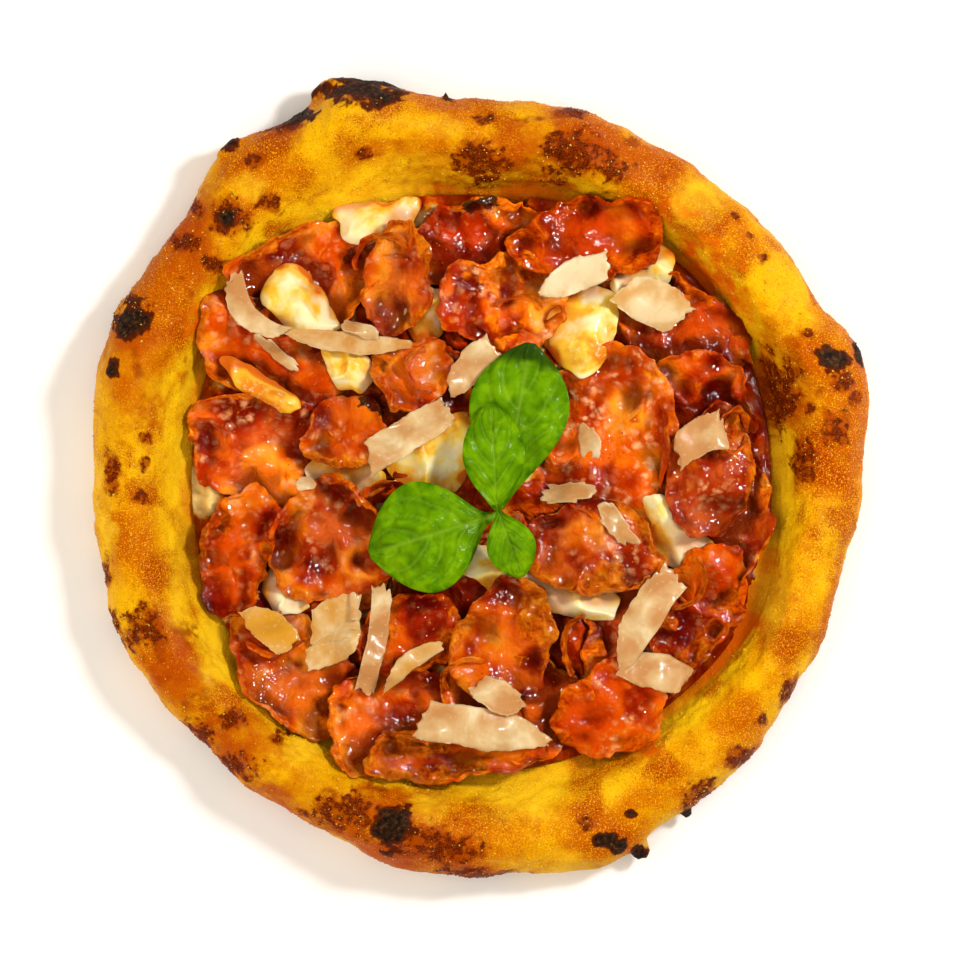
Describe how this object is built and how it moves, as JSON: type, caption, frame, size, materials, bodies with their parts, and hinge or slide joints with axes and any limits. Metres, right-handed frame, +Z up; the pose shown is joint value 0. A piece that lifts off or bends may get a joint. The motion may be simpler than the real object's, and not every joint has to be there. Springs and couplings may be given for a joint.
{
  "type": "salami pizza",
  "caption": "Round uncut pizza with a tall charred rim, tomato sauce, melted mozzarella, crisp curled salami, hard-cheese shavings and a basil sprig",
  "frame": {"origin": "middle of the outer box on the flat underside, on the surface the pizza lies on", "axes": "+Z up out of the toppings, +Y towards the top of the picture, +X towards its right"},
  "size_m": [0.3012, 0.3102, 0.035],
  "materials": {
    "crust": "golden baked dough with brown and black leopard spots, fine grainy skin, partly glossy with oil",
    "sauce": "deep red glossy tomato sauce",
    "mozzarella": "melted creamy white cheese with yellow oil stains",
    "salami": "oily red and pink marbled slices with thin crisp orange edges",
    "shaving": "thin slightly see-through pale hard-cheese shavings",
    "basil": "bright green puckered leaf with paler veins"
  },
  "bodies": {
    "root": {"crust": "crust", "sauce": "sauce", "salami_01": "salami", "salami_02": "salami", "salami_03": "salami", "salami_04": "salami", "salami_05": "salami", "salami_06": "salami", "salami_07": "salami", "salami_08": "salami", "salami_09": "salami", "salami_10": "salami", "salami_11": "salami", "salami_12": "salami", "salami_13": "salami", "salami_14": "salami", "mozzarella_01": "mozzarella", "mozzarella_02": "mozzarella", "mozzarella_03": "mozzarella", "mozzarella_04": "mozzarella", "mozzarella_05": "mozzarella", "mozzarella_06": "mozzarella", "mozzarella_07": "mozzarella", "mozzarella_08": "mozzarella", "mozzarella_09": "mozzarella", "mozzarella_10": "mozzarella", "mozzarella_11": "mozzarella", "mozzarella_12": "mozzarella", "salami_15": "salami", "salami_16": "salami", "salami_17": "salami", "salami_18": "salami", "salami_19": "salami", "salami_20": "salami", "salami_21": "salami", "salami_22": "salami", "salami_23": "salami", "salami_24": "salami", "salami_25": "salami", "salami_26": "salami", "salami_27": "salami", "salami_28": "salami", "shaving_01": "shaving", "shaving_02": "shaving", "shaving_03": "shaving", "shaving_04": "shaving", "shaving_05": "shaving", "shaving_06": "shaving", "shaving_07": "shaving", "shaving_08": "shaving", "shaving_09": "shaving", "shaving_10": "shaving", "shaving_11": "shaving", "shaving_12": "shaving", "shaving_13": "shaving", "shaving_14": "shaving", "basil_leaf_1": "basil", "basil_leaf_2": "basil", "basil_leaf_3": "basil", "basil_leaf_4": "basil"}
  },
  "joints": []
}
